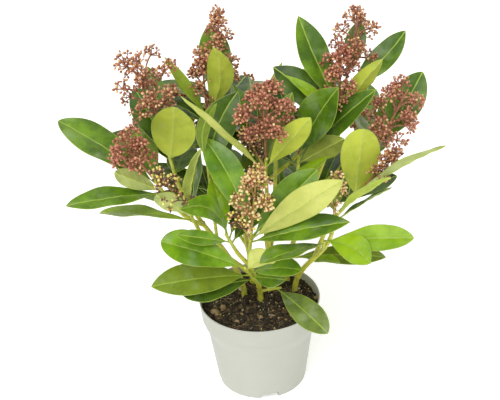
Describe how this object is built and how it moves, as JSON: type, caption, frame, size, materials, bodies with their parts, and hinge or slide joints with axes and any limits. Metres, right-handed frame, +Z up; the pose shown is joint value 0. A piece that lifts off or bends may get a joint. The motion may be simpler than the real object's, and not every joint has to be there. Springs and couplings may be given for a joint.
{
  "type": "potted skimmia",
  "caption": "Small evergreen flowering shrub with whorled leathery leaves and upright sprays of flower buds, in a pale round nursery pot filled with soil.",
  "frame": {"origin": "middle of the pot's flat underside", "axes": "+Z up along the pot's axis, +X to the right and +Y away in the picture's view"},
  "size_m": [0.3507, 0.2988, 0.3751],
  "materials": {
    "pot_plastic": "satin",
    "soil": "rough",
    "stem_bark": "satin",
    "leaf": "satin"
  },
  "bodies": {
    "root": {"bough_back_left": "stem_bark", "bough_back_middle": "stem_bark", "bough_back_right": "stem_bark", "bough_far_right": "stem_bark", "bough_inner_left": "stem_bark", "bough_inner_right": "stem_bark", "bough_left": "stem_bark", "bough_left_low": "stem_bark", "bough_low_left": "stem_bark", "bough_low_right": "stem_bark", "bough_mid_right": "stem_bark", "bough_right": "stem_bark", "foliage_back": "leaf", "foliage_back_left": "leaf", "foliage_back_middle": "leaf", "foliage_back_right": "leaf", "foliage_behind_low": "leaf", "foliage_centre": "leaf", "foliage_far_right": "leaf", "foliage_front": "leaf", "foliage_front_low": "leaf", "foliage_front_right": "leaf", "foliage_inner_left": "leaf", "foliage_inner_right": "leaf", "foliage_left": "leaf", "foliage_left_low": "leaf", "foliage_low_back": "leaf", "foliage_low_back_left": "leaf", "foliage_low_back_right": "leaf", "foliage_low_left": "leaf", "foliage_low_right": "leaf", "foliage_mid_left": "leaf", "foliage_mid_right": "leaf", "foliage_right": "leaf", "foliage_right_low": "leaf", "foliage_rim_low": "leaf", "foliage_top_left": "leaf", "foliage_top_right": "leaf", "foliage_upper_left": "leaf", "pot": "pot_plastic", "soil": "soil", "stem_back_left": "stem_bark", "stem_back_right": "stem_bark", "stem_centre": "stem_bark", "stem_front": "stem_bark", "stem_left": "stem_bark", "stem_rear": "stem_bark", "stem_right": "stem_bark"}
  },
  "joints": []
}
